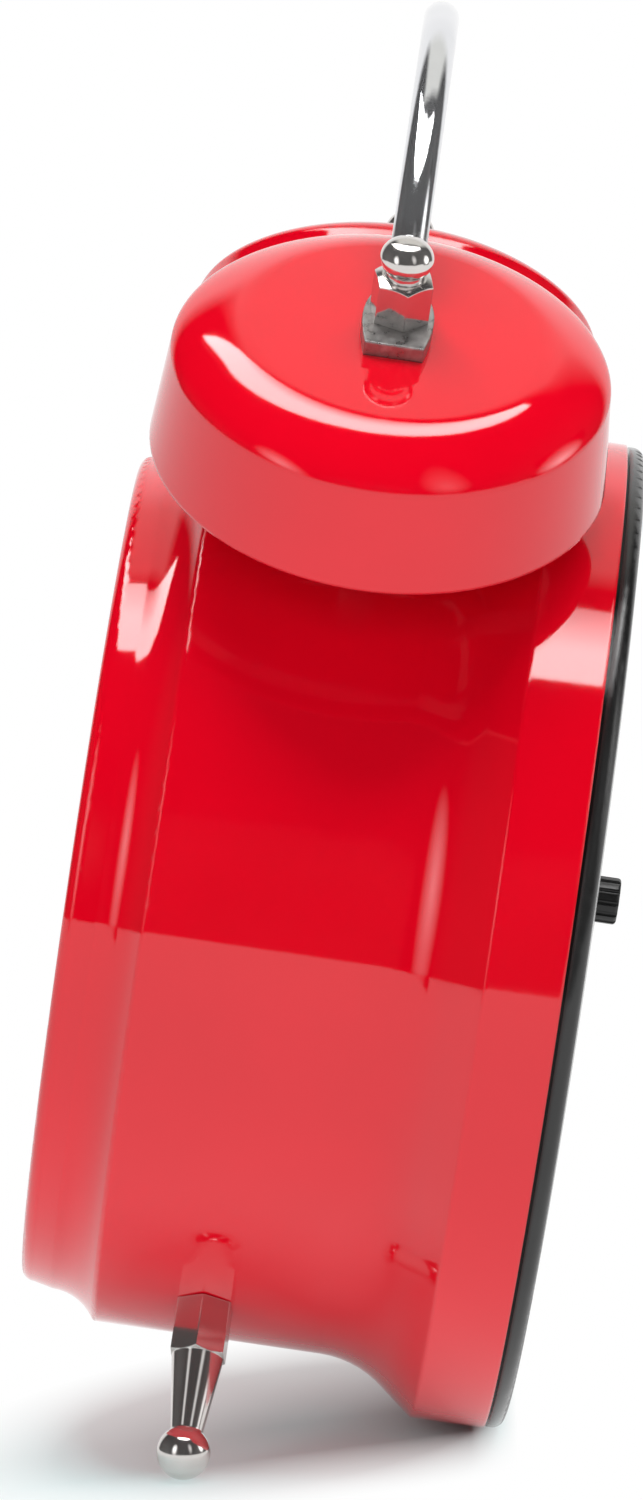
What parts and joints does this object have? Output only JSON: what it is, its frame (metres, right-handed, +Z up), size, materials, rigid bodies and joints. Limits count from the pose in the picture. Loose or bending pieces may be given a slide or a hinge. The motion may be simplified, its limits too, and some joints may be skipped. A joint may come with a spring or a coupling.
{
  "type": "twin-bell alarm clock",
  "caption": "Round table alarm clock leaning back on ball feet, with a stepped metal drum, bells on posts struck by a hammer between them, a rod carry handle and a battery quartz movement.",
  "frame": {"origin": "floor point under the middle of the bounding box of the standing clock", "axes": "+Z up, -Y towards the reader of the dial, +X to the right as the dial is read; the drum axis leans back by 8.27 degrees about X"},
  "size_m": [0.2132, 0.1246, 0.2866],
  "materials": {
    "red_enamel": "gloss",
    "bright_chrome": "polished",
    "nickel": "polished",
    "black_moulding": "satin",
    "grey_moulding": "satin",
    "clear_glass": "polished",
    "white_ring": "satin",
    "dial_paint": "matt",
    "natural_moulding": "matt",
    "seal_rubber": "matt",
    "zinc_steel": "satin",
    "soft_iron": "satin",
    "copper_winding": "satin",
    "brass_turned": "turned",
    "wheel_plastic": "satin",
    "board_green": "satin",
    "can_metal": "satin",
    "cell_sleeve": "gloss",
    "hand_black": "painted",
    "hand_red": "painted",
    "hand_gold": "painted"
  },
  "bodies": {
    "case": {"drum": "red_enamel", "glass_gasket": "seal_rubber", "front_glass": "clear_glass", "dial_ring": "white_ring", "dial_plate": "dial_paint", "dial_carrier": "natural_moulding", "rear_cover": "black_moulding", "cover_screws": "zinc_steel", "battery_cells": "cell_sleeve", "battery_contacts": "zinc_steel", "bell_right": "red_enamel", "bell_left": "red_enamel", "bell_post_right": "nickel", "bell_post_left": "nickel", "post_nuts": "zinc_steel", "handle": "bright_chrome", "finial_right": "nickel", "finial_left": "nickel", "foot_right": "nickel", "foot_left": "nickel", "foot_nuts": "zinc_steel", "striker_bracket": "zinc_steel", "bracket_screws": "zinc_steel", "striker_cores": "soft_iron", "striker_coils": "copper_winding", "hammer_pin": "zinc_steel", "movement_cup": "natural_moulding", "movement_lid": "natural_moulding", "fixing_nut": "brass_turned", "stator": "soft_iron", "coil_core": "soft_iron", "motor_coil": "copper_winding", "circuit_board": "board_green", "quartz_crystal": "can_metal", "switch_body": "natural_moulding"},
    "hammer": {"hammer_lever": "zinc_steel", "hammer_head": "brass_turned"},
    "time_setting": {"motion_wheel": "wheel_plastic", "time_stem": "zinc_steel", "time_knob": "black_moulding"},
    "minute": {"minute_arbor": "wheel_plastic", "minute_hand": "hand_black"},
    "hour": {"hour_wheel": "wheel_plastic", "hour_hand": "hand_black"},
    "alarm_setting": {"alarm_setting_wheel": "wheel_plastic", "alarm_stem": "zinc_steel", "alarm_knob": "black_moulding"},
    "alarm_pointer": {"alarm_wheel": "wheel_plastic", "alarm_hand": "hand_gold"},
    "second": {"second_wheel": "wheel_plastic", "second_hand": "hand_red"},
    "third": {"third_wheel": "wheel_plastic"},
    "centre": {"centre_wheel": "wheel_plastic"},
    "step": {"step_wheel": "wheel_plastic"},
    "rotor_body": {"rotor": "wheel_plastic"},
    "switch": {"alarm_switch": "grey_moulding"},
    "door": {"battery_door": "black_moulding"}
  },
  "joints": [
    {"name": "hammer_swing", "type": "hinge", "parent": "case", "child": "hammer", "pos_m": [0, 0.00509, 0.16936], "axis": [0, 0.9896, -0.1439], "range_deg": [-11.3, 11.3], "stiffness_Nm_per_rad": 0.06},
    {"name": "time_knob_spin", "type": "hinge", "parent": "case", "child": "time_setting", "pos_m": [-0.01057, -0.03377, 0.1134], "axis": [0, 0.9896, -0.1439], "continuous": true},
    {"name": "minute_hand_spin", "type": "hinge", "parent": "case", "child": "minute", "pos_m": [0, -0.0342, 0.1104], "axis": [0, 0.9896, -0.1439], "continuous": true},
    {"name": "hour_hand_spin", "type": "hinge", "parent": "case", "child": "hour", "pos_m": [0, -0.0342, 0.1104], "axis": [0, 0.9896, -0.1439], "continuous": true},
    {"name": "alarm_knob_spin", "type": "hinge", "parent": "case", "child": "alarm_setting", "pos_m": [0.01556, -0.0327, 0.12075], "axis": [0, 0.9896, -0.1439], "continuous": true},
    {"name": "alarm_hand_spin", "type": "hinge", "parent": "case", "child": "alarm_pointer", "pos_m": [0, -0.0342, 0.1104], "axis": [0, 0.9896, -0.1439], "continuous": true},
    {"name": "second_hand_spin", "type": "hinge", "parent": "case", "child": "second", "pos_m": [0, -0.0342, 0.1104], "axis": [0, 0.9896, -0.1439], "continuous": true},
    {"name": "third_wheel_spin", "type": "hinge", "parent": "case", "child": "third", "pos_m": [0, -0.03572, 0.09997], "axis": [0, 0.9896, -0.1439], "continuous": true},
    {"name": "centre_wheel_spin", "type": "hinge", "parent": "case", "child": "centre", "pos_m": [0, -0.0342, 0.1104], "axis": [0, 0.9896, -0.1439], "continuous": true},
    {"name": "step_wheel_spin", "type": "hinge", "parent": "case", "child": "step", "pos_m": [0, -0.03265, 0.12109], "axis": [0, 0.9896, -0.1439], "continuous": true},
    {"name": "rotor_spin", "type": "hinge", "parent": "case", "child": "rotor_body", "pos_m": [-0.00573, -0.03176, 0.12717], "axis": [0, 0.9896, -0.1439], "continuous": true},
    {"name": "alarm_switch_slide", "type": "slide", "parent": "case", "child": "switch", "axis": [1, 0, 0], "range_m": [0, 0.005]},
    {"name": "battery_door_swing", "type": "hinge", "parent": "case", "child": "door", "pos_m": [0, 0.03875, 0.03603], "axis": [-1, 0, 0], "range_deg": [0, 90]}
  ],
  "couplings": [
    {"joint": "time_knob_spin", "follows": "minute_hand_spin", "ratio": -0.33333},
    {"joint": "hour_hand_spin", "follows": "minute_hand_spin", "ratio": 0.083333},
    {"joint": "alarm_knob_spin", "follows": "alarm_hand_spin", "ratio": -0.66667},
    {"joint": "third_wheel_spin", "follows": "second_hand_spin", "ratio": -0.125},
    {"joint": "centre_wheel_spin", "follows": "second_hand_spin", "ratio": 0.016667},
    {"joint": "step_wheel_spin", "follows": "second_hand_spin", "ratio": -5},
    {"joint": "rotor_spin", "follows": "second_hand_spin", "ratio": 30}
  ]
}
